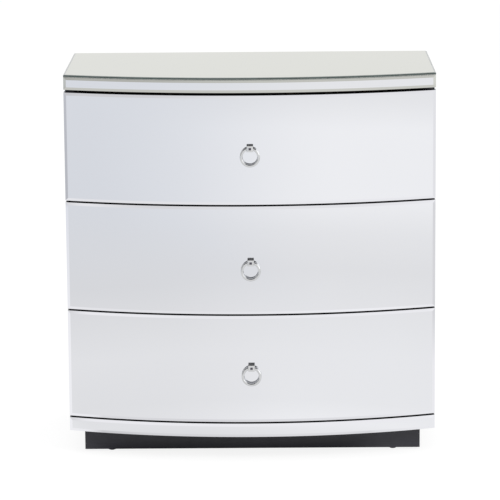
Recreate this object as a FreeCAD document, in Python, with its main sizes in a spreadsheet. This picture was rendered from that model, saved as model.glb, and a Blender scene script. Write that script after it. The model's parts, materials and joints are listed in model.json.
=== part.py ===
import FreeCAD, Part
import math
import os

import Sketcher
from FreeCAD import Vector

# Bow-front chest of three drawers, faced with bevelled mirror glass.
# Millimetres, +Z up, the front faces -Y, the origin is on the floor under the middle of the
# whole outline. All curved pieces share one upright bow axis behind the chest, so their bodies
# are placed on that axis and their arcs are drawn about their own origin.

DIMENSIONS = {
    # Case
    "width": 813,
    "height": 853,
    "side_depth": 386,
    "bow_rise": 71,
    "board_thickness": 18,
    "back_thickness": 5,
    "glue_line": 0.3,
    "front_clearance": 2,
    "top_rail_height": 28,
    "bottom_rail_height": 30,
    "top_gap": 6,
    "drawer_gap": 4,
    "divider_height": 16,
    "divider_depth": 60,
    # Mirror glass
    "mirror_thickness": 5,
    "bevel_width": 6,
    "bevel_depth": 2,
    "top_arris": 1,
    # Plinth and glides
    "plinth_height": 52,
    "plinth_end_inset": 31.5,
    "plinth_front_inset": 32,
    "plinth_back_inset": 15,
    "corner_block": 40,
    "glide_height": 3,
    "glide_diameter": 16,
    "glide_foot": 11,
    "glide_edge": 1.2,
    "glide_inset": 60,
    # Drawer boxes
    "box_wall": 12,
    "box_bottom": 6,
    "box_clearance": 6,
    "box_headroom": 30,
    "box_rear_gap": 10,
    "bottom_lift": 10,
    "groove_depth": 6,
    "fit_clearance": 0.3,
    # Telescopic slides
    "slide_depth": 12.7,
    "slide_height": 45,
    "slide_gauge": 1.2,
    "slide_end_gap": 2,
    "slide_flange": 9,
    "slide_lip": 3,
    "slide_web_gap": 1,
    "ball_row": 3.4,
    "cage_length": 150,
    "cage_width": 3.8,
    "cage_end_gap": 10,
    "cage_clearance": 0.2,
    # Ring pulls
    "ring_diameter": 44,
    "ring_tube": 6,
    "ring_play": 0.3,
    "post_width": 14,
    "post_wall": 1.8,
    "post_bevel_width": 3.6,
    "post_bevel_depth": 1.2,
    "post_neck": 4.4,
    # Heights of the pulls above the middles of their drawer fronts
    "bottom_drawer_pull_rise": 5,
    "middle_drawer_pull_rise": -3,
    "top_drawer_pull_rise": 5.5,
}

DRAWERS = ("bottom_drawer", "middle_drawer", "top_drawer")

# The tube of a ring and the ring itself have as many equal sides as pass for round
TUBE_SIDES = 12
RING_SIDES = 40

# How far a cut runs past the face that it opens
CUT_MARGIN = 3

# Sketch numbering: the origin point, and the start, end and centre of an edge
ORIGIN = -1
START, END, CENTRE = range(1, 4)

# Radii about the bow axis, from the glass inwards
HALF = "(Dims.width / 2)"
GLASS_FRONT = f"(({HALF} ^ 2 + Dims.bow_rise ^ 2) / (2 * Dims.bow_rise))"
GLASS_BACK = f"({GLASS_FRONT} - Dims.mirror_thickness)"
BOARD_FRONT = f"({GLASS_BACK} - Dims.glue_line)"
BOARD_BACK = f"({BOARD_FRONT} - Dims.board_thickness)"
RAIL_BACK = f"({BOARD_BACK} - Dims.front_clearance)"
CASE_FRONT = f"({RAIL_BACK} - Dims.glue_line)"

# Distances from the middle, sideways
CASE_HALF = f"({HALF} - Dims.mirror_thickness)"
INNER_HALF = f"({CASE_HALF} - Dims.board_thickness)"
BOX_HALF = f"({INNER_HALF} - Dims.slide_depth)"
BOX_INNER = f"({BOX_HALF} - Dims.box_wall)"
PLINTH_HALF = f"({HALF} - Dims.plinth_end_inset)"
GLIDE_X = f"({PLINTH_HALF} - Dims.glide_inset)"

# Distances from the bow axis, front to back
BACK = f"(Dims.side_depth + Dims.bow_rise - {GLASS_FRONT})"
CASE_BACK = f"({BACK} - Dims.back_thickness)"
CORNER = f"({BACK} - Dims.side_depth)"
BOX_BACK = f"({CASE_BACK} - Dims.box_rear_gap)"
SIDE_FRONT = f"(-sqrt({CASE_FRONT} ^ 2 - {HALF} ^ 2))"
DIVIDER_BACK = f"({SIDE_FRONT} + Dims.divider_depth)"
SLIDE_FRONT = f"(Dims.slide_end_gap - sqrt({CASE_FRONT} ^ 2 - {INNER_HALF} ^ 2))"
SLIDE_REAR = f"({BOX_BACK} - Dims.slide_end_gap)"
SLIDE_LENGTH = f"({SLIDE_REAR} - {SLIDE_FRONT})"
PLINTH_FRONT = f"({CORNER} + Dims.plinth_front_inset)"
PLINTH_BACK = f"({BACK} - Dims.plinth_back_inset)"

# Heights above the floor
CASE_BOTTOM = "(Dims.glide_height + Dims.plinth_height)"
CASE_TOP = "(Dims.height - Dims.mirror_thickness)"
SIDE_BOTTOM = f"({CASE_BOTTOM} + Dims.board_thickness)"
SIDE_TOP = f"({CASE_TOP} - Dims.board_thickness)"
FRONTS_BOTTOM = f"({CASE_BOTTOM} + Dims.bottom_rail_height + Dims.drawer_gap)"
FRONTS_TOP = f"({CASE_TOP} - Dims.top_rail_height - Dims.top_gap)"
ALL_GAPS = f"({len(DRAWERS) - 1} * Dims.drawer_gap)"
FRONT_HEIGHT = f"(({FRONTS_TOP} - {FRONTS_BOTTOM} - {ALL_GAPS}) / {len(DRAWERS)})"
DIVIDER_OVERLAP = "((Dims.divider_height - Dims.drawer_gap) / 2)"
BOX_LIFT = f"({DIVIDER_OVERLAP} + Dims.box_clearance)"
BOX_HEIGHT = f"({FRONT_HEIGHT} - {BOX_LIFT} - {DIVIDER_OVERLAP} - Dims.box_headroom)"
GROOVE_HEIGHT = "(Dims.box_bottom + Dims.fit_clearance)"

# Ring pull: the inside of the ring hangs on the two lower edges of a straight eye
RING_RADIUS = "((Dims.ring_diameter - Dims.ring_tube) / 2)"
RING_INSIDE = f"({RING_RADIUS} - Dims.ring_tube / 2 - Dims.ring_play)"
EYE_RADIUS = f"({RING_RADIUS} - sqrt({RING_INSIDE} ^ 2 - (Dims.post_width / 2) ^ 2))"
RING_STANDOFF = f"({EYE_RADIUS} + Dims.post_neck)"
POST_HEIGHT = f"(2 * ({EYE_RADIUS} + Dims.post_wall))"
POST_DEPTH = f"({RING_STANDOFF} + {EYE_RADIUS} + Dims.post_wall)"

# The bow axis, measured from the middle of the whole depth, ring pulls included
BOW_AXIS = f"({GLASS_FRONT} - (Dims.side_depth + Dims.bow_rise - {POST_DEPTH}) / 2)"
GLASS_APEX = f"({BOW_AXIS} - {GLASS_FRONT})"

doc = FreeCAD.newDocument("BowFrontChest")
sheet = doc.addObject("Spreadsheet::Sheet", "Dims")
for row, (alias, number) in enumerate(DIMENSIONS.items(), start=1):
    sheet.set(f"A{row}", alias.replace("_", " "))
    sheet.set(f"B{row}", str(number))
    sheet.setAlias(f"B{row}", alias)
doc.recompute()

pieces = []


def value(expression):
    """The present number behind an expression."""
    return float(sheet.evalExpression(expression))


def minus(expression):
    return f"(-{expression})"


def piece(item, label):
    """Keep an object as a piece of the chest, under its own label."""
    item.Label = label
    pieces.append(item)
    return item


def new_body(name, x="0", y=BOW_AXIS, z="0"):
    """A body placed on the bow axis unless told otherwise."""
    body = doc.addObject("PartDesign::Body", name)
    for axis, expression in zip("xyz", (x, y, z)):
        body.setExpression(f"Placement.Base.{axis}", expression)
    return body


def new_sketch(body, name, role="XY_Plane", **shift):
    """A sketch on one of the body's own origin planes, shifted along its own x, y or z."""
    plane = next(item for item in body.Origin.OriginFeatures if item.Role == role)
    sketch = body.newObject("Sketcher::SketchObject", name)
    sketch.AttachmentSupport = (plane, [""])
    sketch.MapMode = "FlatFace"
    for axis, expression in shift.items():
        sketch.setExpression(f"AttachmentOffset.Base.{axis}", expression)
    return sketch


def tie(sketch, expression, *constraint):
    """A measured constraint, bound to the sheet."""
    index = sketch.addConstraint(Sketcher.Constraint(*constraint, value(expression)))
    name = f"size_{index}"
    sketch.renameConstraint(index, name)
    sketch.setExpression(f"Constraints.{name}", expression)


def join(sketch, edges):
    """Close a ring of edges, end to start."""
    for edge, following in zip(edges, edges[1:] + edges[:1]):
        sketch.addConstraint(Sketcher.Constraint("Coincident", edge, END, following, START))


def polygon(sketch, corners):
    """A closed outline with straight sides through the given corners."""
    points = [Vector(value(x), value(y), 0) for x, y in corners]
    edges = []
    for start, end in zip(points, points[1:] + points[:1]):
        edges.append(sketch.addGeometry(Part.LineSegment(start, end)))
    join(sketch, edges)
    for edge, (x, y) in zip(edges, corners):
        tie(sketch, x, "DistanceX", ORIGIN, START, edge, START)
        tie(sketch, y, "DistanceY", ORIGIN, START, edge, START)
    return edges


def rectangle(sketch, left, right, low, high):
    return polygon(sketch, [(left, low), (right, low), (right, high), (left, high)])


def regular_corners(sides, apothem, middle):
    """The corners of a regular polygon about a point on the y axis, clockwise from a level top side."""
    corner = f"({apothem} / cos({180 / sides}))"
    corners = []
    for side in range(sides):
        angle = (side + 0.5) * 360 / sides
        corners.append((f"({corner} * sin({angle}))", f"({middle} + {corner} * cos({angle}))"))
    return corners


def round_outline(sketch, radius, middle):
    """A circle about a point on the x axis."""
    circle = Part.Circle(Vector(value(middle), 0, 0), Vector(0, 0, 1), value(radius))
    edge = sketch.addGeometry(circle)
    tie(sketch, radius, "Radius", edge)
    tie(sketch, middle, "DistanceX", ORIGIN, START, edge, CENTRE)
    tie(sketch, "0", "DistanceY", ORIGIN, START, edge, CENTRE)


def front_point(radius, x):
    """The point of a bow arc at a given distance from the middle."""
    return Vector(x, -math.sqrt(radius ** 2 - x ** 2), 0)


def bow_arc(sketch, radius, left, right):
    """An arc about the bow axis, from its left end to its right end."""
    size = value(radius)
    ends = [front_point(size, value(x)) for x in (left, right)]
    angles = [math.atan2(end.y, end.x) for end in ends]
    circle = Part.Circle(Vector(0, 0, 0), Vector(0, 0, 1), size)
    arc = sketch.addGeometry(Part.ArcOfCircle(circle, *angles))
    sketch.addConstraint(Sketcher.Constraint("Coincident", arc, CENTRE, ORIGIN, START))
    tie(sketch, radius, "Radius", arc)
    tie(sketch, left, "DistanceX", ORIGIN, START, arc, START)
    tie(sketch, right, "DistanceX", ORIGIN, START, arc, END)
    return arc, ends


def bow_panel(sketch, front_radius, back, left, right):
    """The plan of a board with a bowed front, square ends and a straight back."""
    arc, (front_left, front_right) = bow_arc(sketch, front_radius, left, right)
    back_right = Vector(front_right.x, value(back), 0)
    back_left = Vector(front_left.x, value(back), 0)
    right_end = sketch.addGeometry(Part.LineSegment(front_right, back_right))
    rear = sketch.addGeometry(Part.LineSegment(back_right, back_left))
    left_end = sketch.addGeometry(Part.LineSegment(back_left, front_left))
    join(sketch, [arc, right_end, rear, left_end])
    for edge in (right_end, left_end):
        sketch.addConstraint(Sketcher.Constraint("Vertical", edge))
    sketch.addConstraint(Sketcher.Constraint("Horizontal", rear))
    tie(sketch, back, "DistanceY", ORIGIN, START, rear, START)


def bow_strip(sketch, front_radius, back_radius, left, right):
    """The plan of a bent board: two arcs about the bow axis and square ends."""
    front, (front_left, front_right) = bow_arc(sketch, front_radius, left, right)
    back, (back_left, back_right) = bow_arc(sketch, back_radius, left, right)
    right_end = sketch.addGeometry(Part.LineSegment(front_right, back_right))
    left_end = sketch.addGeometry(Part.LineSegment(back_left, front_left))
    meetings = (
        (front, END, right_end, START),
        (right_end, END, back, END),
        (back, START, left_end, START),
        (left_end, END, front, START),
    )
    for meeting in meetings:
        sketch.addConstraint(Sketcher.Constraint("Coincident", *meeting))


def pad(body, sketch, length):
    feature = body.newObject("PartDesign::Pad", "Pad")
    feature.Profile = sketch
    feature.setExpression("Length", length)
    return feature


def cut_through(body, sketch):
    """Cut the sketched outlines right through the body, both ways."""
    feature = body.newObject("PartDesign::Pocket", "Cut")
    feature.Profile = sketch
    feature.Type = "ThroughAll"
    feature.SideType = "Symmetric"
    return feature


def cut_down(body, sketch, depth):
    """Cut the sketched outlines to a depth, against the sketch's normal."""
    feature = body.newObject("PartDesign::Pocket", "Recess")
    feature.Profile = sketch
    feature.setExpression("Length", depth)
    return feature


def turn(body, sketch, kind, axis="V_Axis"):
    """Turn the sketched outlines once round an axis of the sketch."""
    feature = body.newObject(f"PartDesign::{kind}", kind)
    feature.Profile = sketch
    feature.ReferenceAxis = (sketch, [axis])
    feature.Angle = 360
    return feature


def sweep(body, sketch, path):
    """Carry the sketched outline along a path of straight sides, mitred at the corners."""
    feature = body.newObject("PartDesign::AdditivePipe", "Sweep")
    feature.Profile = sketch
    feature.Spine = (path, [""])
    feature.Transition = "Right corner"
    return feature


def mirrored(source, label):
    """The left-hand copy of a right-hand piece."""
    copy = doc.addObject("Part::Mirroring", label)
    copy.Source = source
    copy.Normal = Vector(1, 0, 0)
    return copy


def group(label, members):
    """Several solids that share one node."""
    compound = doc.addObject("Part::Compound", label)
    compound.Links = members
    return piece(compound, label)


def both_sides(label, members):
    """Right-hand members and their left-hand copies, as one node."""
    copies = [mirrored(member, f"{member.Name}_left") for member in members]
    return group(label, members + copies)


def past(expression, direction):
    """A little beyond a face, for the open side of a cut."""
    return f"({expression} {direction} {CUT_MARGIN})"


def curved_board(label, back_radius, bottom, tall):
    """A bent board that carries a mirror, as wide as the chest."""
    body = piece(new_body(label, z=bottom), label)
    plan = new_sketch(body, "Plan")
    bow_strip(plan, BOARD_FRONT, back_radius, minus(HALF), HALF)
    pad(body, plan, tall)
    return body


def curved_mirror(label, bottom, tall):
    """Bent mirror glass with a ground bevel on all four edges."""
    body = piece(new_body(label, z=bottom), label)
    plan = new_sketch(body, "Plan")
    bow_strip(plan, GLASS_FRONT, GLASS_BACK, minus(HALF), HALF)
    pad(body, plan, tall)
    face = minus(GLASS_FRONT)
    bevel_back = f"({face} + Dims.bevel_depth)"
    section = new_sketch(body, "LongBevels", "YZ_Plane")
    lower = [(face, "Dims.bevel_width"), (bevel_back, "0"), (past(face, "-"), past("0", "-"))]
    upper_start = f"({tall} - Dims.bevel_width)"
    upper = [(face, upper_start), (bevel_back, tall), (past(face, "-"), past(tall, "+"))]
    polygon(section, lower)
    polygon(section, upper)
    turn(body, section, "Groove")
    inset = f"({HALF} - Dims.bevel_width)"
    face_point = f"(-sqrt({GLASS_FRONT} ^ 2 - {inset} ^ 2))"
    end_point = f"(Dims.bevel_depth - sqrt({GLASS_FRONT} ^ 2 - {HALF} ^ 2))"
    ends = new_sketch(body, "EndBevels")
    right = [(inset, face_point), (HALF, end_point), (past(HALF, "+"), past(face_point, "-"))]
    polygon(ends, right)
    polygon(ends, [(minus(x), y) for x, y in right])
    cut_through(body, ends)


def top_mirror():
    """The flat glass top, bowed in front, with a small arris all round."""
    body = piece(new_body("top_mirror", z=CASE_TOP), "top_mirror")
    plan = new_sketch(body, "Plan")
    bow_panel(plan, GLASS_FRONT, BACK, minus(HALF), HALF)
    pad(body, plan, "Dims.mirror_thickness")
    face = "Dims.mirror_thickness"
    low = f"({face} - Dims.top_arris)"
    above = past(face, "+")
    front = new_sketch(body, "FrontArris", "YZ_Plane")
    edge = minus(GLASS_FRONT)
    polygon(front, [(f"({edge} + Dims.top_arris)", face), (edge, low), (past(edge, "-"), above)])
    turn(body, front, "Groove")
    rear = new_sketch(body, "BackArris", "YZ_Plane")
    polygon(rear, [(f"({BACK} - Dims.top_arris)", face), (BACK, low), (past(BACK, "+"), above)])
    cut_through(body, rear)
    ends = new_sketch(body, "EndArrises", "XZ_Plane")
    right = [(f"({HALF} - Dims.top_arris)", face), (HALF, low), (past(HALF, "+"), above)]
    polygon(ends, right)
    polygon(ends, [(minus(x), z) for x, z in right])
    cut_through(body, ends)


def side_mirrors():
    """The flat glass of both sides, bevelled all round."""
    tall = f"({CASE_TOP} - {CASE_BOTTOM})"
    body = piece(new_body("right_side_mirror", z=CASE_BOTTOM), "right_side_mirror")
    plan = new_sketch(body, "Plan")
    rectangle(plan, CASE_HALF, HALF, SIDE_FRONT, BACK)
    pad(body, plan, tall)
    low = f"({HALF} - Dims.bevel_depth)"
    outside = past(HALF, "+")
    upright = new_sketch(body, "UprightBevels")
    polygon(upright, [(HALF, f"({SIDE_FRONT} + Dims.bevel_width)"), (low, SIDE_FRONT),
                      (outside, past(SIDE_FRONT, "-"))])
    polygon(upright, [(HALF, f"({BACK} - Dims.bevel_width)"), (low, BACK), (outside, past(BACK, "+"))])
    cut_through(body, upright)
    level = new_sketch(body, "LevelBevels", "XZ_Plane")
    polygon(level, [(HALF, "Dims.bevel_width"), (low, "0"), (outside, past("0", "-"))])
    polygon(level, [(HALF, f"({tall} - Dims.bevel_width)"), (low, tall), (outside, past(tall, "+"))])
    cut_through(body, level)
    piece(mirrored(body, "left_side_mirror"), "left_side_mirror")


def case_boards():
    """Top, bottom, sides, back and the two dividers behind the gaps between drawers."""
    for label, bottom in (("top_board", SIDE_TOP), ("bottom_board", CASE_BOTTOM)):
        board = piece(new_body(label, z=bottom), label)
        plan = new_sketch(board, "Plan")
        bow_panel(plan, CASE_FRONT, CASE_BACK, minus(CASE_HALF), CASE_HALF)
        pad(board, plan, "Dims.board_thickness")
    side = piece(new_body("right_side_board", z=SIDE_BOTTOM), "right_side_board")
    plan = new_sketch(side, "Plan")
    bow_panel(plan, CASE_FRONT, CASE_BACK, INNER_HALF, CASE_HALF)
    pad(side, plan, f"({SIDE_TOP} - {SIDE_BOTTOM})")
    piece(mirrored(side, "left_side_board"), "left_side_board")
    back = piece(new_body("back_board", z=CASE_BOTTOM), "back_board")
    plan = new_sketch(back, "Plan")
    rectangle(plan, minus(CASE_HALF), CASE_HALF, CASE_BACK, BACK)
    pad(back, plan, f"({CASE_TOP} - {CASE_BOTTOM})")
    for label, below in (("lower_divider", 1), ("upper_divider", 2)):
        bottom = f"({front_bottom(below)} - Dims.drawer_gap - {DIVIDER_OVERLAP})"
        divider = piece(new_body(label, z=bottom), label)
        plan = new_sketch(divider, "Plan")
        bow_panel(plan, CASE_FRONT, DIVIDER_BACK, minus(INNER_HALF), INNER_HALF)
        pad(divider, plan, "Dims.divider_height")


def plinth():
    """Four boards with triangular blocks in the corners, on round glides."""
    board = "Dims.board_thickness"
    glide_rows = {
        "front": f"({PLINTH_FRONT} + {board} / 2)",
        "back": f"({PLINTH_BACK} - {board} / 2)",
    }
    spans = {
        "front": (PLINTH_FRONT, f"({PLINTH_FRONT} + {board})"),
        "back": (f"({PLINTH_BACK} - {board})", PLINTH_BACK),
    }
    for name, (near, far) in spans.items():
        label = f"plinth_{name}"
        body = piece(new_body(label, z="Dims.glide_height"), label)
        plan = new_sketch(body, "Plan")
        rectangle(plan, minus(PLINTH_HALF), PLINTH_HALF, near, far)
        pad(body, plan, "Dims.plinth_height")
    inner_front = spans["front"][1]
    inner_back = spans["back"][0]
    inner_side = f"({PLINTH_HALF} - {board})"
    side = piece(new_body("plinth_right", z="Dims.glide_height"), "plinth_right")
    plan = new_sketch(side, "Plan")
    rectangle(plan, inner_side, PLINTH_HALF, inner_front, inner_back)
    pad(side, plan, "Dims.plinth_height")
    piece(mirrored(side, "plinth_left"), "plinth_left")
    blocks = []
    glides = []
    for name, corner, into in (("front", inner_front, "+"), ("back", inner_back, "-")):
        block = new_body(f"{name}_corner_block", z="Dims.glide_height")
        plan = new_sketch(block, "Plan")
        polygon(plan, [(inner_side, corner), (f"({inner_side} - Dims.corner_block)", corner),
                       (inner_side, f"({corner} {into} Dims.corner_block)")])
        pad(block, plan, "Dims.plinth_height")
        blocks.append(block)
        glides.append(glide(f"{name}_glide", f"({BOW_AXIS} + {glide_rows[name]})"))
    both_sides("plinth_corner_blocks", blocks)
    both_sides("floor_glides", glides)


def glide(name, y):
    """A round glide with a chamfered foot."""
    body = new_body(name, x=GLIDE_X, y=y)
    foot = "(Dims.glide_foot / 2)"
    rim = "(Dims.glide_diameter / 2)"
    section = new_sketch(body, "Section", "XZ_Plane")
    polygon(section, [("0", "0"), (foot, "0"), (rim, "Dims.glide_edge"), (rim, "Dims.glide_height"),
                      ("0", "Dims.glide_height")])
    turn(body, section, "Revolution")
    return body


def front_bottom(index):
    """The height of a drawer front's lower edge, counted up from the lowest drawer."""
    return f"({FRONTS_BOTTOM} + {index} * ({FRONT_HEIGHT} + Dims.drawer_gap))"


def drawer_front(drawer, bottom):
    """The bent front board, grooved for the drawer bottom, and its mirror."""
    board = curved_board(f"{drawer}_front_board", BOARD_BACK, bottom, FRONT_HEIGHT)
    groove_top = f"({BOX_LIFT} + Dims.bottom_lift + {GROOVE_HEIGHT})"
    groove_end = f"({BOX_INNER} + Dims.groove_depth)"
    groove = new_sketch(board, "BottomGroove", z=groove_top)
    groove_front = f"({BOARD_BACK} + Dims.groove_depth)"
    bow_strip(groove, groove_front, past(BOARD_BACK, "-"), minus(groove_end), groove_end)
    cut_down(board, groove, GROOVE_HEIGHT)
    curved_mirror(f"{drawer}_front_mirror", bottom, FRONT_HEIGHT)


def drawer_box(drawer, bottom):
    """Grooved sides, a back, and a bottom that slides in under the back."""
    side = piece(new_body(f"{drawer}_right_side", z=bottom), f"{drawer}_right_side")
    plan = new_sketch(side, "Plan")
    bow_panel(plan, f"({BOARD_BACK} - Dims.glue_line)", BOX_BACK, BOX_INNER, BOX_HALF)
    pad(side, plan, BOX_HEIGHT)
    groove_floor = "Dims.bottom_lift"
    groove_top = f"({groove_floor} + {GROOVE_HEIGHT})"
    groove = new_sketch(side, "BottomGroove", "XZ_Plane")
    groove_end = f"({BOX_INNER} + Dims.groove_depth)"
    rectangle(groove, past(BOX_INNER, "-"), groove_end, groove_floor, groove_top)
    cut_through(side, groove)
    piece(mirrored(side, f"{drawer}_left_side"), f"{drawer}_left_side")
    rear = piece(new_body(f"{drawer}_back", z=f"({bottom} + {groove_top})"), f"{drawer}_back")
    plan = new_sketch(rear, "Plan")
    rectangle(plan, minus(BOX_INNER), BOX_INNER, f"({BOX_BACK} - Dims.box_wall)", BOX_BACK)
    pad(rear, plan, f"({BOX_HEIGHT} - {groove_top})")
    floor = piece(new_body(f"{drawer}_bottom", z=f"({bottom} + {groove_floor})"), f"{drawer}_bottom")
    plan = new_sketch(floor, "Plan")
    floor_half = f"({groove_end} - Dims.fit_clearance)"
    floor_front = f"({BOARD_BACK} + Dims.groove_depth - Dims.fit_clearance)"
    bow_panel(plan, floor_front, BOX_BACK, minus(floor_half), floor_half)
    pad(floor, plan, "Dims.box_bottom")


def channel(name, middle, web, tips, outer, gauge, lip=None):
    """A rolled steel channel: a web, two flanges and, where given, lips on the flange tips."""
    body = new_body(name, x=INNER_HALF, y=f"({BOW_AXIS} + {SLIDE_REAR})", z=middle)
    inward = "-" if value(tips) < value(web) else "+"
    web_inside = f"({web} {inward} {gauge})"
    flange_inside = f"({outer} - {gauge})"
    upper = [(web, outer), (tips, outer)]
    if lip:
        lip_inside = f"({tips} + {gauge})"
        lip_end = f"({outer} - {lip})"
        upper += [(tips, lip_end), (lip_inside, lip_end), (lip_inside, flange_inside)]
    else:
        upper += [(tips, flange_inside)]
    upper += [(web_inside, flange_inside)]
    lower = [(x, minus(z)) for x, z in reversed(upper)]
    section = new_sketch(body, "Section", "XZ_Plane")
    polygon(section, upper + lower)
    pad(body, section, SLIDE_LENGTH)
    return body


def ball_cages(name, middle, rear, near, far, low, high):
    """The two ball cages of one stage, above and below, as plain bars."""
    body = new_body(name, x=INNER_HALF, y=f"({BOW_AXIS} + {rear})", z=middle)
    section = new_sketch(body, "Section", "XZ_Plane")
    rectangle(section, near, far, low, high)
    rectangle(section, near, far, minus(high), minus(low))
    pad(body, section, "Dims.cage_length")
    return body


def slides(drawer, bottom):
    """A pair of three-member telescopic slides, measured inwards from the side boards."""
    middle = f"({bottom} + {BOX_HEIGHT} / 2)"
    gauge = "Dims.slide_gauge"
    cabinet_outer = "(Dims.slide_height / 2)"
    middle_outer = f"({cabinet_outer} - {gauge} - Dims.ball_row)"
    drawer_outer = f"({middle_outer} - {gauge} - Dims.ball_row)"
    middle_web = f"(-({gauge} + Dims.slide_web_gap))"
    middle_tips = f"({gauge} + Dims.slide_web_gap - Dims.slide_depth)"
    drawer_tips = f"({middle_web} - {gauge} - Dims.slide_web_gap)"
    cabinet = channel(f"{drawer}_cabinet_channel", middle, "0", "(-Dims.slide_flange)",
                      cabinet_outer, gauge, "Dims.slide_lip")
    between = channel(f"{drawer}_middle_channel", middle, middle_web, middle_tips, middle_outer, gauge)
    inner = channel(f"{drawer}_drawer_channel", middle, "(-Dims.slide_depth)", drawer_tips,
                    drawer_outer, gauge)
    clear = "Dims.cage_clearance"
    outer_far = f"({gauge} + {clear} - Dims.slide_flange)"
    outer_cages = ball_cages(
        f"{drawer}_outer_cages", middle, f"({SLIDE_REAR} - Dims.cage_end_gap)",
        outer_far, f"({outer_far} + Dims.cage_width)",
        f"({middle_outer} + {clear})", f"({cabinet_outer} - {gauge} - {clear})")
    inner_near = f"({drawer_tips} - {clear})"
    inner_cages = ball_cages(
        f"{drawer}_inner_cages", middle, f"({SLIDE_FRONT} + Dims.cage_end_gap + Dims.cage_length)",
        f"({inner_near} - Dims.cage_width)", inner_near,
        f"({drawer_outer} + {clear})", f"({middle_outer} - {gauge} - {clear})")
    both_sides(f"{drawer}_slide_cabinet_members", [cabinet])
    both_sides(f"{drawer}_slide_middle_members", [between, outer_cages, inner_cages])
    both_sides(f"{drawer}_slide_drawer_members", [inner])


def ring_post(drawer, height):
    """The square post of a ring pull: a low pyramid for a face, and a straight eye across it."""
    body = piece(new_body(f"{drawer}_ring_post", y=GLASS_APEX, z=height), f"{drawer}_ring_post")
    half_width = "(Dims.post_width / 2)"
    half_height = f"({POST_HEIGHT} / 2)"
    outline = new_sketch(body, "Outline", "XZ_Plane")
    rectangle(outline, minus(half_width), half_width, minus(half_height), half_height)
    pad(body, outline, POST_DEPTH)
    face = minus(POST_DEPTH)
    bevel_back = f"({face} + Dims.post_bevel_depth)"
    before = past(face, "-")
    upright = new_sketch(body, "UprightBevels")
    right = [(f"({half_width} - Dims.post_bevel_width)", face), (half_width, bevel_back),
             (past(half_width, "+"), before)]
    polygon(upright, right)
    polygon(upright, [(minus(x), y) for x, y in right])
    cut_through(body, upright)
    level = new_sketch(body, "LevelBevels", "YZ_Plane")
    upper = [(face, f"({half_height} - Dims.post_bevel_width)"), (bevel_back, half_height),
             (before, past(half_height, "+"))]
    polygon(level, upper)
    polygon(level, [(y, minus(z)) for y, z in upper])
    cut_through(body, level)
    eye = new_sketch(body, "Eye", "YZ_Plane")
    round_outline(eye, EYE_RADIUS, minus(RING_STANDOFF))
    cut_through(body, eye)


def ring(drawer, height):
    """The ring, hanging in the eye."""
    axis_y = f"({GLASS_APEX} - {RING_STANDOFF})"
    axis_z = f"({height} - {RING_RADIUS})"
    body = piece(new_body(f"{drawer}_ring", y=axis_y, z=axis_z), f"{drawer}_ring")
    section = new_sketch(body, "Section", "YZ_Plane")
    polygon(section, regular_corners(TUBE_SIDES, "(Dims.ring_tube / 2)", RING_RADIUS))
    path = new_sketch(body, "Path", "XZ_Plane")
    polygon(path, [("0", RING_RADIUS)] + regular_corners(RING_SIDES, RING_RADIUS, "0"))
    sweep(body, section, path)


def build():
    top_mirror()
    side_mirrors()
    case_boards()
    for name, bottom, tall in (
        ("top_rail", f"({CASE_TOP} - Dims.top_rail_height)", "Dims.top_rail_height"),
        ("bottom_rail", CASE_BOTTOM, "Dims.bottom_rail_height"),
    ):
        curved_board(name, RAIL_BACK, bottom, tall)
        curved_mirror(f"{name}_mirror", bottom, tall)
    plinth()
    for index, drawer in enumerate(DRAWERS):
        bottom = front_bottom(index)
        drawer_front(drawer, bottom)
        drawer_box(drawer, f"({bottom} + {BOX_LIFT})")
        slides(drawer, f"({bottom} + {BOX_LIFT})")
        pull_height = f"({bottom} + {FRONT_HEIGHT} / 2 + Dims.{drawer}_pull_rise)"
        ring_post(drawer, pull_height)
        ring(drawer, pull_height)
    doc.recompute()


def check():
    """Stop before anything is written if an object failed or a piece isn't sound."""
    for item in doc.Objects:
        if {"Invalid", "Error"} & set(item.State):
            raise RuntimeError(f"{item.Label} failed: {item.State}")
    for item in pieces:
        if item.Shape.isNull() or not item.Shape.isValid() or not item.Shape.Solids:
            raise RuntimeError(f"{item.Label} has no sound shape")


def export():
    os.makedirs("parts", exist_ok=True)
    for item in pieces:
        item.Shape.exportStep(f"parts/{item.Label}.step")
    box = Part.makeCompound([item.Shape for item in pieces]).BoundBox
    print(f"{len(pieces)} pieces, {box.XLength:.1f} x {box.YLength:.1f} x {box.ZLength:.1f} mm")


build()
check()
export()
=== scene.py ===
"""Dress the bow-front chest: bevelled mirror glass, chrome ring pulls, lacquered case, plywood drawers."""

import json
import math

import bmesh
import bpy
from mathutils import Matrix, Vector

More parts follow.
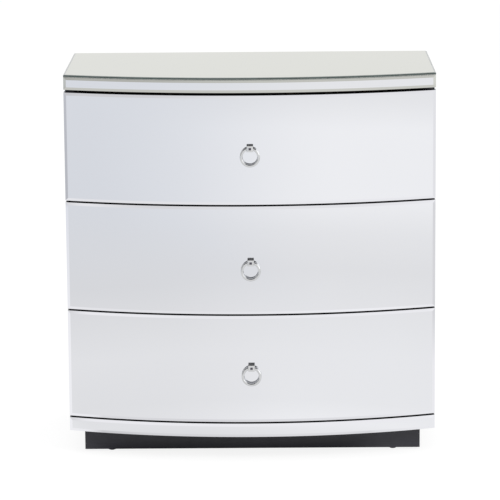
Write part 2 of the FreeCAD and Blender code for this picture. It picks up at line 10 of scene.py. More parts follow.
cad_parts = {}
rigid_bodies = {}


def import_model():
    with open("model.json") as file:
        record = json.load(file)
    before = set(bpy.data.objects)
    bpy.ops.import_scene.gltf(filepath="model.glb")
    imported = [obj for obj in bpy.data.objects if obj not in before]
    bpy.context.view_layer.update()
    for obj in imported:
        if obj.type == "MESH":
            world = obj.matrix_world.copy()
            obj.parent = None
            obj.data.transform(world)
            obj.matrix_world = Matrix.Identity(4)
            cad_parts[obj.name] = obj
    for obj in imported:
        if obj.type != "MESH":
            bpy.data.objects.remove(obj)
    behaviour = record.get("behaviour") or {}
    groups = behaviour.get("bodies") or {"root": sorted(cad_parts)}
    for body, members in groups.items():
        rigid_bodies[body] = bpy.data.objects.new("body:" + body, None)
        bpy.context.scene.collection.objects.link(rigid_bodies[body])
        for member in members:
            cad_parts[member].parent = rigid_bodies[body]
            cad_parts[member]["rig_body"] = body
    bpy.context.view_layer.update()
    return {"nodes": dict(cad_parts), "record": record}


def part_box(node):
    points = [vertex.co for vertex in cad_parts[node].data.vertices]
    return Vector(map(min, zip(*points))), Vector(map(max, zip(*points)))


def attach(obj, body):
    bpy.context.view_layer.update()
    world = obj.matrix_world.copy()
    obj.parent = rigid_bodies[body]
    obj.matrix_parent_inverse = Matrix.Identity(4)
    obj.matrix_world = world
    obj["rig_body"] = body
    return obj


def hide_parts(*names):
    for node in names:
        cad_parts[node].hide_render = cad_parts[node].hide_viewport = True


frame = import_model()
nodes = frame["nodes"]

DRAWERS = ("bottom_drawer", "middle_drawer", "top_drawer")

# Sizes in metres that the solids share
GLASS_THICKNESS = 0.005
BEVEL_WIDTH = 0.006
BEVEL_DEPTH = 0.002
TOP_ARRIS = 0.001
FRONT_THICKNESS = 0.0233
POST_BEVEL_WIDTH = 0.0036
POST_BEVEL_DEPTH = 0.0012
EYE_RADIUS = 0.00495
SLIDE_GAUGE = 0.0012

# Sizes in metres of the finer forms that only this scene has
TOP_BEVEL_WIDTH = 0.004
LOWER_ARRIS_DEPTH = 0.00035
BOARD_ARRIS = 0.0006
POST_SOFT_EDGE = 0.0004
INLAY_RIM = 0.0003
INLAY_SLOPE = 0.0002
INLAY_DEPTH = 0.0005
WASHER_RADIUS = 0.006
WASHER_THICKNESS = 0.0012
WASHER_CHAMFER = 0.0004
BACK_SCREW_RADIUS = 0.0035
BACK_SCREW_INSET = 0.009
BACK_SCREW_COLUMNS = 6
BACK_SCREW_ROWS = 5
HANDLE_SCREW_RADIUS = 0.004
SLIDE_SCREW_RADIUS = 0.0034
SLIDE_SCREW_SHARES = (0.08, 0.45, 0.82)

# A pan head as shares of its radius and height; half of the recess's height is above the crown
HEAD_HEIGHT = 0.62
HEAD_PROFILE = ((0, 0), (1, 0), (1, 0.35), (0.9, 0.68), (0.6, 0.93), (0.25, 1), (0, 1))
RECESS_LENGTH = 1.24
RECESS_WIDTH = 0.26
RECESS_HEIGHT = 1.1

# Fineness of the round forms
BOW_STEPS = 96
RING_STEPS = 96
TUBE_STEPS = 32
EYE_STEPS = 48
WASHER_STEPS = 32
HEAD_STEPS = 24
SHARP_ANGLE = math.radians(8)
ARRIS_ANGLE = math.radians(40)
SAME_PLACE = 0.000001
WELD_REACH = 0.00002

# How far the form that cuts the eye reaches, as a share of half the post's width
EYE_REACH = 1.2

# The bow axis and the radius of the glass, from the box of one bent mirror
low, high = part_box("top_rail_mirror")
HALF_WIDTH = high.x
depth = high.y - low.y
BOW_RADIUS = (depth ** 2 - GLASS_THICKNESS ** 2 + HALF_WIDTH ** 2) / (2 * (depth - GLASS_THICKNESS))
AXIS_Y = low.y + BOW_RADIUS


def body_of(node):
    """The name of the body that carries a solid."""
    return nodes[node]["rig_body"]


# Shader nodes

# Most of a noise's values lie between these two
NOISE_SPAN = (0.3, 0.7)


def new_material(name, **constants):
    """A material with one principled shader, its constant values set on the shader's own sockets."""
    material = bpy.data.materials.new(name)
    material.use_nodes = True
    tree = material.node_tree
    shader = tree.nodes["Principled BSDF"]
    for socket, number in constants.items():
        shader.inputs[socket.replace("_", " ")].default_value = number
    return material, tree, shader


def coordinates(tree, kind):
    """The coordinates of one kind, such as Object, which is in the object's own metres."""
    return tree.nodes.new("ShaderNodeTexCoord").outputs[kind]


def components(tree, vector):
    """The parts of a vector by axis."""
    split = tree.nodes.new("ShaderNodeSeparateXYZ")
    tree.links.new(vector, split.inputs["Vector"])
    return {axis: split.outputs[axis] for axis in "XYZ"}


def noise(tree, scale, stretch=(1, 1, 1), detail=3, roughness=0.5):
    """A noise value in the object's own metres, finer along the axes that are stretched more."""
    mapping = tree.nodes.new("ShaderNodeMapping")
    mapping.inputs["Scale"].default_value = stretch
    tree.links.new(coordinates(tree, "Object"), mapping.inputs["Vector"])
    texture = tree.nodes.new("ShaderNodeTexNoise")
    texture.inputs["Scale"].default_value = scale
    texture.inputs["Detail"].default_value = detail
    texture.inputs["Roughness"].default_value = roughness
    tree.links.new(mapping.outputs["Vector"], texture.inputs["Vector"])
    return texture.outputs["Fac"]


def in_range(tree, source, start, end, low, high, kind="LINEAR"):
    """A value taken from one range to another."""
    remap = tree.nodes.new("ShaderNodeMapRange")
    remap.interpolation_type = kind
    remap.inputs["From Min"].default_value = start
    remap.inputs["From Max"].default_value = end
    remap.inputs["To Min"].default_value = low
    remap.inputs["To Max"].default_value = high
    tree.links.new(source, remap.inputs["Value"])
    return remap.outputs["Result"]


def smooth_step(tree, source, start, end, low=0.0, high=1.0):
    """A value that eases from one level to another."""
    return in_range(tree, source, start, end, low, high, "SMOOTHSTEP")


def math_node(tree, operation, first, second):
    """One sum on values or numbers."""
    node = tree.nodes.new("ShaderNodeMath")
    node.operation = operation
    for socket, item in zip(node.inputs, (first, second)):
        if isinstance(item, (int, float)):
            socket.default_value = item
        else:
            tree.links.new(item, socket)
    return node.outputs["Value"]


def choose(tree, condition, yes, no):
    """One value where a condition holds and another where it doesn't."""
    picked = math_node(tree, "MULTIPLY", condition, yes)
    other = math_node(tree, "MULTIPLY", math_node(tree, "SUBTRACT", 1.0, condition), no)
    return math_node(tree, "ADD", picked, other)


def mixed(tree, factor, first, second):
    """A colour between two, each a colour or a value from another node."""
    mix = tree.nodes.new("ShaderNodeMix")
    mix.data_type = "RGBA"
    tree.links.new(factor, mix.inputs["Factor"])
    for socket, item in (("A", first), ("B", second)):
        if isinstance(item, tuple):
            mix.inputs[socket].default_value = item
        else:
            tree.links.new(item, mix.inputs[socket])
    return mix.outputs["Result"]


def shades(tree, source, *stops):
    """A colour that runs through the given shades as the value rises."""
    ramp = tree.nodes.new("ShaderNodeValToRGB")
    elements = ramp.color_ramp.elements
    while len(elements) < len(stops):
        elements.new(0.5)
    for element, (position, colour) in zip(elements, stops):
        element.position = position
        element.color = (*colour, 1)
    tree.links.new(source, ramp.inputs["Fac"])
    return ramp.outputs["Color"]


def bump(tree, shader, source, distance, strength):
    """Fine relief from a value, in metres."""
    relief = tree.nodes.new("ShaderNodeBump")
    relief.inputs["Distance"].default_value = distance
    relief.inputs["Strength"].default_value = strength
    tree.links.new(source, relief.inputs["Height"])
    tree.links.new(relief.outputs["Normal"], shader.inputs["Normal"])


# Materials

FLOAT_GLASS_IOR = 1.52

FRONT_TINT = (0.835, 0.842, 0.872)
# A lighter, cooler copy of the front's tint: painted light on the bevels of the fronts, sides and bottom
# rail.
BEVEL_PAINTED_LIGHT_TINT = (0.86, 0.862, 0.90)
# A darker, warmer copy: painted shade on the top rail's bevels, under the top's overhang and over the gap.
RAIL_BEVEL_PAINTED_SHADE_TINT = (0.60, 0.605, 0.57)
# A darker, warmer copy: painted shade on the top glass.
TOP_PAINTED_SHADE_TINT = (0.55, 0.562, 0.49)

PLY_THICKNESS = 0.0015
BIRCH_SHADES = ((0.25, (0.47, 0.33, 0.19)), (0.5, (0.60, 0.45, 0.29)), (0.75, (0.68, 0.54, 0.37)))
GLUE_LINE_SHADES = ((0.35, (0.30, 0.19, 0.10)), (0.62, (0.62, 0.47, 0.31)))


def finish(name, dark, light, rough, relief, colour, gloss=None, wave=None, span=NOISE_SPAN, **constants):
    """A finish from noises: for its colour and, where it isn't the same one, for its gloss and relief.

    rough gives the least and the greatest roughness, and relief a height in metres and a strength.
    """
    material, tree, shader = new_material(name, **constants)
    grain = noise(tree, **colour)
    base = shades(tree, grain, (span[0], dark), (span[1], light))
    tree.links.new(base, shader.inputs["Base Color"])
    wiped = noise(tree, **gloss) if gloss else grain
    tree.links.new(in_range(tree, wiped, *NOISE_SPAN, *rough), shader.inputs["Roughness"])
    bump(tree, shader, noise(tree, **wave) if wave else grain, *relief)
    return material


def mirror_glass(name, tint):
    """Silvered glass: faint cloudiness, wiped-glass gloss changes and the slight wave of bent sheet."""
    cloudy = tuple(channel * 0.985 for channel in tint)
    return finish(name, cloudy, tint, rough=(0.018, 0.045), relief=(0.0004, 0.15),
                  colour={"scale": 3.0, "detail": 2},
                  gloss={"scale": 9.0, "stretch": (1, 1, 3), "detail": 5},
                  wave={"scale": 5.0, "detail": 1}, Metallic=1.0)


def plywood(name, thickness_axis):
    """Birch plywood: long fine grain on the faces and glue lines on the edges of the sheet."""
    material, tree, shader = new_material(name, Coat_Weight=0.15, Coat_Roughness=0.3)
    stretch = (16, 1, 1) if thickness_axis == "Z" else (1, 1, 16)
    figure = noise(tree, 14.0, stretch=stretch, detail=8, roughness=0.6)
    face = shades(tree, figure, *BIRCH_SHADES)
    across = components(tree, coordinates(tree, "Object"))[thickness_axis]
    plies = math_node(tree, "PINGPONG", across, PLY_THICKNESS)
    lines = shades(tree, math_node(tree, "MULTIPLY", plies, 1 / PLY_THICKNESS), *GLUE_LINE_SHADES)
    normal = components(tree, tree.nodes.new("ShaderNodeNewGeometry").outputs["Normal"])
    facing_out = math_node(tree, "ABSOLUTE", normal[thickness_axis], 0)
    on_face = math_node(tree, "GREATER_THAN", facing_out, 0.5)
    tree.links.new(mixed(tree, on_face, lines, face), shader.inputs["Base Color"])
    tree.links.new(in_range(tree, figure, *NOISE_SPAN, 0.42, 0.58), shader.inputs["Roughness"])
    bump(tree, shader, figure, 0.00015, 0.35)
    return material


FRONT_GLASS = mirror_glass("front_mirror_glass", FRONT_TINT)
# Painted light: the bevels in a lighter copy of the mirror glass.
FRONT_BEVEL_PAINTED_LIGHT = mirror_glass("front_mirror_bevel_painted_light", BEVEL_PAINTED_LIGHT_TINT)
# Painted shade: the top rail's bevels in a darker copy of the mirror glass.
RAIL_BEVEL_PAINTED_SHADE = mirror_glass("rail_mirror_bevel_painted_shade", RAIL_BEVEL_PAINTED_SHADE_TINT)
# Painted shade: the top in a darker copy of the mirror glass.
TOP_GLASS_PAINTED_SHADE = mirror_glass("top_mirror_glass_painted_shade", TOP_PAINTED_SHADE_TINT)

# The polished edge of float glass: dark green, a little lighter where light leaks along it
GLASS_EDGE = finish("glass_edge", (0.022, 0.042, 0.036), (0.046, 0.078, 0.070),
                    rough=(0.10, 0.24), relief=(0.00005, 0.4), colour={"scale": 40.0, "detail": 4},
                    gloss={"scale": 160.0}, wave={"scale": 600.0},
                    IOR=FLOAT_GLASS_IOR, Coat_Weight=0.5, Coat_Roughness=0.05)

# The matt arris of ground glass
GROUND_GLASS = finish("ground_glass", (0.60, 0.63, 0.60), (0.72, 0.75, 0.72),
                      rough=(0.50, 0.68), relief=(0.00004, 0.5), colour={"scale": 800.0, "detail": 4},
                      IOR=FLOAT_GLASS_IOR)

# The grey protective paint over the silvering
BACKING = finish("mirror_backing", (0.075, 0.080, 0.085), (0.105, 0.110, 0.115),
                 rough=(0.45, 0.62), relief=(0.00008, 0.5), colour={"scale": 220.0, "detail": 5},
                 span=(0.35, 0.65))

# Bright chrome plate with hair-fine polishing marks
CHROME = finish("chrome_plate", (0.64, 0.645, 0.65), (0.70, 0.705, 0.71),
                rough=(0.04, 0.09), relief=(0.00001, 0.3),
                colour={"scale": 260.0, "stretch": (1, 1, 6), "detail": 4}, Metallic=1.0)

# Black nickel plate, finely brushed upwards, for the posts' sunk squares: a painted dark reflection
NICKEL_PAINTED_REFLECTION = finish("dark_nickel_painted_reflection", (0.085, 0.08, 0.10), (0.14, 0.13, 0.16),
                rough=(0.20, 0.34), relief=(0.00002, 0.4),
                colour={"scale": 700.0, "stretch": (4, 4, 0.4), "detail": 4}, Metallic=1.0)

# Satin black lacquer over board: shallow orange peel, long faint brush of the grain below
LACQUER = finish("black_lacquer_finish", (0.0110, 0.0105, 0.0175), (0.0185, 0.0177, 0.0310),
                 rough=(0.34, 0.50), relief=(0.00006, 0.35),
                 colour={"scale": 24.0, "stretch": (1, 1, 14), "detail": 6},
                 gloss={"scale": 60.0, "detail": 5}, wave={"scale": 480.0, "detail": 2},
                 Coat_Weight=0.25, Coat_Roughness=0.22)

# Black-faced hardboard with pressed fibre showing through
HARDBOARD = finish("hardboard_face", (0.014, 0.013, 0.013), (0.036, 0.033, 0.031),
                   rough=(0.55, 0.75), relief=(0.00012, 0.5),
                   colour={"scale": 320.0, "detail": 6, "roughness": 0.65}, span=(0.3, 0.72))

# Zinc-plated rolled steel, streaked along the rolling direction
ZINC = finish("zinc_plate", (0.46, 0.48, 0.50), (0.63, 0.65, 0.67),
              rough=(0.22, 0.40), relief=(0.00003, 0.4),
              colour={"scale": 90.0, "stretch": (6, 0.3, 6), "detail": 5}, Metallic=1.0)

# Black moulded plastic with a fine spark-eroded grain
PLASTIC = finish("glide_moulding", (0.018, 0.018, 0.020), (0.034, 0.034, 0.036),
                 rough=(0.42, 0.58), relief=(0.00008, 0.5), colour={"scale": 900.0, "detail": 4})

PLY = {axis: plywood(f"birch_plywood_{axis.lower()}", axis) for axis in "XYZ"}


# Pieces


def finish_piece(bm, name, materials, body, slot, *replaced):
    """Turn a mesh in the making into a named piece that rides on a body."""
    bmesh.ops.recalc_face_normals(bm, faces=bm.faces)
    for edge in bm.edges:
        edge.smooth = len(edge.link_faces) == 2 and edge.calc_face_angle() < SHARP_ANGLE
    for face in bm.faces:
        face.smooth = True
    mesh = bpy.data.meshes.new(name)
    bm.to_mesh(mesh)
    bm.free()
    for material in materials:
        mesh.materials.append(material)
    piece = bpy.data.objects.new(name, mesh)
    bpy.context.scene.collection.objects.link(piece)
    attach(piece, body)
    if replaced:
        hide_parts(*replaced)
    return piece


def strip(bm, first, second, index):
    """Faces between two closed loops of as many points."""
    count = len(first)
    for here in range(count):
        after = (here + 1) % count
        face = bm.faces.new((first[here], first[after], second[after], second[here]))
        face.material_index = index


def cap(bm, loop, index, bent):
    """Close a loop: as one flat face, or as upright strips where it is bent."""
    if not bent:
        bm.faces.new(loop).material_index = index
        return
    half = len(loop) // 2
    for here in range(half - 1):
        face = bm.faces.new((loop[here], loop[here + 1], loop[-here - 2], loop[-here - 1]))
        face.material_index = index


def plate(loops, bent=False):
    """A bevelled plate from loops that run from its face to its back, a material for each surface."""
    bm = bmesh.new()
    rings = []
    for loop in loops:
        rings.append([bm.verts.new(point) for point in loop])
    cap(bm, rings[0], 0, bent)
    for index, (first, second) in enumerate(zip(rings, rings[1:]), start=1):
        strip(bm, first, second, index)
    cap(bm, rings[-1], len(rings), bent)
    return bm


def bow_row(radius, half, z):
    """Points along the bow from left to right, at one height."""
    reach = math.asin(half / radius)
    points = []
    for step in range(BOW_STEPS + 1):
        angle = reach * (2 * step / BOW_STEPS - 1)
        points.append(Vector((radius * math.sin(angle), AXIS_Y - radius * math.cos(angle), z)))
    return points


def bent_loop(radius, half, bottom, top):
    """A closed loop round a bent sheet, along its lower edge and back along its upper edge."""
    return bow_row(radius, half, bottom) + bow_row(radius, half, top)[::-1]


def bent_mirror(node, bevel):
    """Bent mirror glass in place of its solid, with a ground bevel on all four edges."""
    low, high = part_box(node)
    face = bent_loop(BOW_RADIUS, HALF_WIDTH - BEVEL_WIDTH, low.z + BEVEL_WIDTH, high.z - BEVEL_WIDTH)
    rim = bent_loop(BOW_RADIUS - BEVEL_DEPTH, HALF_WIDTH, low.z, high.z)
    back = bent_loop(BOW_RADIUS - GLASS_THICKNESS, HALF_WIDTH, low.z, high.z)
    bm = plate([face, rim, back], bent=True)
    materials = [FRONT_GLASS, bevel, GLASS_EDGE, BACKING]
    finish_piece(bm, f"{node}_glass", materials, body_of(node), "mirror_glass", node)


def top_mirror():
    """The flat glass top, bowed in front, with a narrow bevel above its edge and a ground arris below."""
    low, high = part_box("top_mirror")

    def outline(inset, rear_inset, z):
        front = bow_row(BOW_RADIUS - inset, HALF_WIDTH - inset, z)
        rear = high.y - rear_inset
        return front + [Vector((HALF_WIDTH - inset, rear, z)), Vector((inset - HALF_WIDTH, rear, z))]

    loops = [
        outline(TOP_BEVEL_WIDTH, TOP_ARRIS, high.z),
        outline(0, 0, high.z - TOP_ARRIS),
        outline(0, 0, low.z + TOP_ARRIS),
        outline(LOWER_ARRIS_DEPTH, LOWER_ARRIS_DEPTH, low.z),
    ]
    materials = [TOP_GLASS_PAINTED_SHADE, GLASS_EDGE, GLASS_EDGE, GROUND_GLASS, BACKING]
    finish_piece(plate(loops), "top_mirror_glass_painted_shade", materials, "case", "mirror_glass", "top_mirror")


def side_mirror(node):
    """The flat glass of one side, bevelled as the fronts are."""
    low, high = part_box(node)
    outward = 1 if low.x > 0 else -1
    outer, inner = (high.x, low.x) if outward > 0 else (low.x, high.x)

    def outline(inset, x):
        y_range = (low.y + inset, high.y - inset)
        z_range = (low.z + inset, high.z - inset)
        corners = ((0, 0), (1, 0), (1, 1), (0, 1))
        return [Vector((x, y_range[along], z_range[up])) for along, up in corners]

    loops = [outline(BEVEL_WIDTH, outer), outline(0, outer - outward * BEVEL_DEPTH), outline(0, inner)]
    materials = [FRONT_GLASS, FRONT_BEVEL_PAINTED_LIGHT, GLASS_EDGE, BACKING]
    finish_piece(plate(loops), f"{node}_glass", materials, "case", "mirror_glass", node)


def turned(profile, steps):
    """A closed form turned about Z from (radius, height) points, from the lower to the upper pole."""
    bm = bmesh.new()
    poles = [bm.verts.new((0, 0, profile[0][1])), bm.verts.new((0, 0, profile[-1][1]))]
    circles = []
    for radius, z in profile[1:-1]:
        circle = []
        for step in range(steps):
            angle = 2 * math.pi * step / steps
            circle.append(bm.verts.new((radius * math.cos(angle), radius * math.sin(angle), z)))
        circles.append(circle)
    for lower, upper in zip(circles, circles[1:]):
        strip(bm, lower, upper, 0)
    for pole, circle in zip(poles, (circles[0], circles[-1])):
        for here in range(steps):
            bm.faces.new((circle[here], circle[(here + 1) % steps], pole))
    bmesh.ops.recalc_face_normals(bm, faces=bm.faces)
    return bm


def in_order(bm):
    """The same form with its corners and faces in a fixed order, which a bevel and inset don't keep."""
    points = sorted(bm.verts, key=lambda vert: tuple(vert.co))
    ranks = {vert: rank for rank, vert in enumerate(points)}
    faces = []
    for face in bm.faces:
        corners = [ranks[vert] for vert in face.verts]
        start = corners.index(min(corners))
        faces.append((corners[start:] + corners[:start], face.material_index))
    ordered = bmesh.new()
    verts = [ordered.verts.new(vert.co) for vert in points]
    for corners, index in sorted(faces):
        ordered.faces.new([verts[corner] for corner in corners]).material_index = index
    bm.free()
    return ordered


def cut_away(bm, cutter):
    """The first form less the second, as a new mesh in the making."""
    holders = []
    for name, form in (("kept_form", bm), ("cutting_form", cutter)):
        mesh = bpy.data.meshes.new(name)
        form.to_mesh(mesh)
        form.free()
        holder = bpy.data.objects.new(name, mesh)
        bpy.context.scene.collection.objects.link(holder)
        holders.append(holder)
    kept, cutting = holders
    modifier = kept.modifiers.new("Cut", "BOOLEAN")
    modifier.operation = "DIFFERENCE"
    modifier.solver = "EXACT"
    modifier.object = cutting
    evaluated = kept.evaluated_get(bpy.context.evaluated_depsgraph_get())
    result = bmesh.new()
    result.from_mesh(evaluated.to_mesh())
    for holder in holders:
        mesh = holder.data
        bpy.data.objects.remove(holder)
        bpy.data.meshes.remove(mesh)
    return result


def ring(drawer):
    """The round chrome ring."""
    node = f"{drawer}_ring"
    low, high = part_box(node)
    centre = (low + high) / 2
    tube = (high.y - low.y) / 2
    radius = (high.z - low.z) / 2 - tube
    bm = bmesh.new()
    loops = []
    for step in range(RING_STEPS):
        angle = 2 * math.pi * step / RING_STEPS
        out = Vector((math.sin(angle), 0, math.cos(angle)))
        loop = []
        for turn in range(TUBE_STEPS):
            about = 2 * math.pi * turn / TUBE_STEPS
            offset = out * (radius + tube * math.cos(about)) + Vector((0, tube * math.sin(about), 0))
            loop.append(bm.verts.new(centre + offset))
        loops.append(loop)
    for first, second in zip(loops, loops[1:] + loops[:1]):
        strip(bm, first, second, 0)
    piece = finish_piece(bm, f"{node}_round", [CHROME], node, "chrome", node)
    piece.data.shade_smooth()


def ring_post(drawer):
    """The square post: a low pyramid face round a sunk square in dark nickel, a painted dark reflection,
    softened edges and a straight eye.
    """
    node = f"{drawer}_ring_post"
    low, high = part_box(node)
    ring_low, ring_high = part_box(f"{drawer}_ring")
    axis_y = (ring_low.y + ring_high.y) / 2
    axis_z = (low.z + high.z) / 2

    def outline(inset, y):
        x = high.x - inset
        bottom = low.z + inset
        top = high.z - inset
        return [Vector((along, y, up)) for along, up in ((-x, bottom), (x, bottom), (x, top), (-x, top))]

    bm = plate([outline(POST_BEVEL_WIDTH, low.y), outline(0, low.y + POST_BEVEL_DEPTH), outline(0, high.y)])
    for face in bm.faces:
        face.material_index = 0
    bmesh.ops.recalc_face_normals(bm, faces=bm.faces)
    rear = high.y - SAME_PLACE
    soft_edges = [edge for edge in bm.edges if max(vert.co.y for vert in edge.verts) < rear]
    bmesh.ops.bevel(bm, geom=soft_edges, offset=POST_SOFT_EDGE, segments=3, affect="EDGES", profile=0.5)
    front = min(bm.faces, key=lambda face: face.calc_center_median().y)
    bmesh.ops.inset_region(bm, faces=[front], thickness=INLAY_RIM, depth=0)
    bmesh.ops.inset_region(bm, faces=[front], thickness=INLAY_SLOPE, depth=-INLAY_DEPTH)
    # The sunk square takes the dark nickel: a painted dark reflection.
    front.material_index = 1
    reach = high.x * EYE_REACH
    eye = turned([(0, -reach), (EYE_RADIUS, -reach), (EYE_RADIUS, reach), (0, reach)], EYE_STEPS)
    across = Matrix.Translation((0, axis_y, axis_z)) @ Matrix.Rotation(math.pi / 2, 4, "Y")
    eye.transform(across)
    bm = cut_away(in_order(bm), eye)
    finish_piece(bm, f"{node}_chrome", [CHROME, NICKEL_PAINTED_REFLECTION], drawer, "chrome", node)


def screw_head(radius):
    """A pan head with a cross recess, its seat at the origin and its crown towards +Z."""
    height = radius * HEAD_HEIGHT
    head = turned([(radius * out, height * up) for out, up in HEAD_PROFILE], HEAD_STEPS)
    size = Matrix.Diagonal((radius * RECESS_LENGTH, radius * RECESS_WIDTH, height * RECESS_HEIGHT, 1))
    for turn in (0, math.pi / 2):
        arm = bmesh.new()
        across = Matrix.Translation((0, 0, height)) @ Matrix.Rotation(turn, 4, "Z")
        bmesh.ops.create_cube(arm, size=1, matrix=across @ size)
        head = cut_away(head, arm)
    return head


def spread(name, form, places, material, body, slot):
    """Copies of one small form at several places, as one piece."""
    mesh = bpy.data.meshes.new("small_form")
    form.to_mesh(mesh)
    form.free()
    bm = bmesh.new()
    for place in places:
        mesh.transform(place)
        bm.from_mesh(mesh)
        mesh.transform(place.inverted())
    bpy.data.meshes.remove(mesh)
    finish_piece(bm, name, [material], body, slot)


def facing(point, direction):
    """A placement that turns +Z towards a direction."""
    return Matrix.Translation(point) @ Vector(direction).to_track_quat("Z", "Y").to_matrix().to_4x4()


def back_screws():
    """Pan-head screws round the edge of the back board."""
    low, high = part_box("back_board")
    left = low.x + BACK_SCREW_INSET
    bottom = low.z + BACK_SCREW_INSET
    width = high.x - low.x - 2 * BACK_SCREW_INSET
    height = high.z - low.z - 2 * BACK_SCREW_INSET
    points = []
    for step in range(BACK_SCREW_COLUMNS):
        x = left + width * step / (BACK_SCREW_COLUMNS - 1)
        points += [(x, bottom), (x, high.z - BACK_SCREW_INSET)]
    for step in range(1, BACK_SCREW_ROWS):
        z = bottom + height * step / BACK_SCREW_ROWS
        points += [(left, z), (high.x - BACK_SCREW_INSET, z)]
    places = [facing((x, high.y, z), (0, 1, 0)) for x, z in points]
    spread("back_board_screws", screw_head(BACK_SCREW_RADIUS), places, ZINC, "case", "zinc_steel")


def handle_screw(drawer):
    """The screw that holds the ring post, with its washer, inside the drawer front."""
    low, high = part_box(f"{drawer}_ring_post")
    inside = AXIS_Y - BOW_RADIUS + FRONT_THICKNESS
    shoulder = WASHER_THICKNESS - WASHER_CHAMFER
    rim = WASHER_RADIUS - WASHER_CHAMFER
    profile = [(0, 0), (WASHER_RADIUS, 0), (WASHER_RADIUS, shoulder), (rim, WASHER_THICKNESS)]
    washer = turned(profile + [(0, WASHER_THICKNESS)], WASHER_STEPS)
    seat = facing((0, inside, (low.z + high.z) / 2), (0, 1, 0))
    spread(f"{drawer}_handle_washer", washer, [seat], ZINC, drawer, "zinc_steel")
    on_washer = seat @ Matrix.Translation((0, 0, WASHER_THICKNESS))
    head = screw_head(HANDLE_SCREW_RADIUS)
    spread(f"{drawer}_handle_screw", head, [on_washer], ZINC, drawer, "zinc_steel")


def slide_screws(drawer):
    """Pan-head screws in the webs of the drawer members."""
    low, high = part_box(f"{drawer}_slide_drawer_members")
    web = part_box(f"{drawer}_right_side")[1].x + SLIDE_GAUGE
    middle = (low.z + high.z) / 2
    places = []
    for share in SLIDE_SCREW_SHARES:
        y = low.y + (high.y - low.y) * share
        for side in (-1, 1):
            places.append(facing((side * web, y, middle), (side, 0, 0)))
    head = screw_head(SLIDE_SCREW_RADIUS)
    spread(f"{drawer}_slide_screws", head, places, ZINC, drawer, "zinc_steel")


# The finish of each slot but plywood, whose grain follows the sheet, and the slots with softened edges
FINISHES = {
    "black_lacquer": LACQUER,
    "hardboard": HARDBOARD,
    "zinc_steel": ZINC,
    "glide_plastic": PLASTIC,
    "chrome": CHROME,
    "mirror_glass": FRONT_GLASS,
}
SOFTENED_SLOTS = ("black_lacquer", "birch_plywood", "glide_plastic")


def ply_of(node):
    """The plywood whose thickness runs along the right axis for a sheet of a drawer box."""
    if node.endswith("_side"):
        return PLY["X"]
    if node.endswith("_back"):
        return PLY["Y"]
    return PLY["Z"]


def dress_solids():
    """Finishes for the solids, with softened edges on the boards and glides."""
    for subpart in frame["record"]["subparts"]:
        name = subpart["node"]
        slot = subpart["material_slot"]
        node = nodes[name]
        node.data.materials.clear()
        node.data.materials.append(ply_of(name) if slot == "birch_plywood" else FINISHES[slot])
        if slot in SOFTENED_SLOTS:
            weld = node.modifiers.new("Weld", "WELD")
            weld.merge_threshold = WELD_REACH
            soften = node.modifiers.new("Arris", "BEVEL")
            soften.width = BOARD_ARRIS
            soften.segments = 2
            soften.limit_method = "ANGLE"
            soften.angle_limit = ARRIS_ANGLE


def build_pieces():
    """All the pieces that the scene adds, then the finishes of the solids."""
    bent_mirror("top_rail_mirror", RAIL_BEVEL_PAINTED_SHADE)
    bent_mirror("bottom_rail_mirror", FRONT_BEVEL_PAINTED_LIGHT)
    top_mirror()
    side_mirror("left_side_mirror")
    side_mirror("right_side_mirror")
    for drawer in DRAWERS:
        bent_mirror(f"{drawer}_front_mirror", FRONT_BEVEL_PAINTED_LIGHT)
        ring(drawer)
        ring_post(drawer)
        handle_screw(drawer)
        slide_screws(drawer)
    back_screws()
    dress_solids()


# Stage, light and camera

WHITE = (1, 1, 1, 1)

# The floor: its size in metres, its paint, and its brightness to the camera, where 1 is white
FLOOR_RADIUS = 60
FLOOR_STEPS = 64
FLOOR_DROP = 0.0003
FLOOR_PAINT = (0.2, 0.2, 0.2, 1)
FLOOR_SEEN = 0.86

# What reflections see of the floor: brightness at distances in metres from the chest's middle
# Painted reflection: the floor glows at these levels for reflections only, and the mirrors show it as their
# light and shade.
FLOOR_LEFT = ((0.3, 0.76), (0.6, 0.90), (0.8, 0.88), (1.3, 0.90), (2.2, 0.81), (4.0, 0.82), (6.0, 0.83))
FLOOR_RIGHT = ((0.3, 0.82), (0.6, 1.0), (0.8, 0.95), (1.3, 0.95), (2.4, 0.885), (3.0, 0.93), (3.6, 1.015),
               (5.2, 1.015), (6.0, 0.93))
FLOOR_LEFT_END = ((1.5, 1.0), (3.3, 0.88), (3.62, 0.86), (3.74, 0.56), (6.4, 0.60), (6.6, 0.84))
FLOOR_RIGHT_END = ((1.3, 0.95), (1.9, 0.78), (3.62, 0.78), (3.74, 0.88), (6.4, 0.88), (6.6, 1.08))

# Where the floor turns from left to right and where its ends begin and are full, as x over the distance
FLOOR_TURN = (-0.68, 0.42)
FLOOR_END = (0.80, 0.95)

# The cool cast of the floor's painted reflection at the left, full at the first distance in metres and gone
# at the second
COOL_CAST = (0.975, 1.0, 1.04, 1)
COOL_FADE = (4.0, 1.4)

# The painted shadow on the floor that reflections see under the plinth: its share of the width, shift, fade
# and level
SHADE_WIDTH = 0.6
SHADE_SHIFT = 0.05
SHADE_FADE = 0.14
SHADE_LEVEL = 0.08

# The card round the camera: its corners in metres
CARD_X = (-0.17, 0.10)
CARD_Y = -6.6
CARD_Z = (1.48, 1.90)

# The room's brightness to the camera, as soft light, and in reflections by direction
ROOM_SEEN = 1.0
ROOM_LIGHT = 0.78
ROOM_MIRRORED = 0.96
AHEAD_LEFT = 0.71
AHEAD_RIGHT = 0.88
CEILING = 0.07
LEFT_WALL = 0.20
SOFTBOX = 1.7

# The camera fitted to the photo: lens and film in millimetres, place in metres, turns in radians
LENS = 211.46
FILM_WIDTH = 36
FAR_LIMIT = 300
CAMERA_PLACE = (0.0401, -6.50394, 1.6845)
YAW = -0.0066
PITCH = 0.1901
ROLL = 0.0079


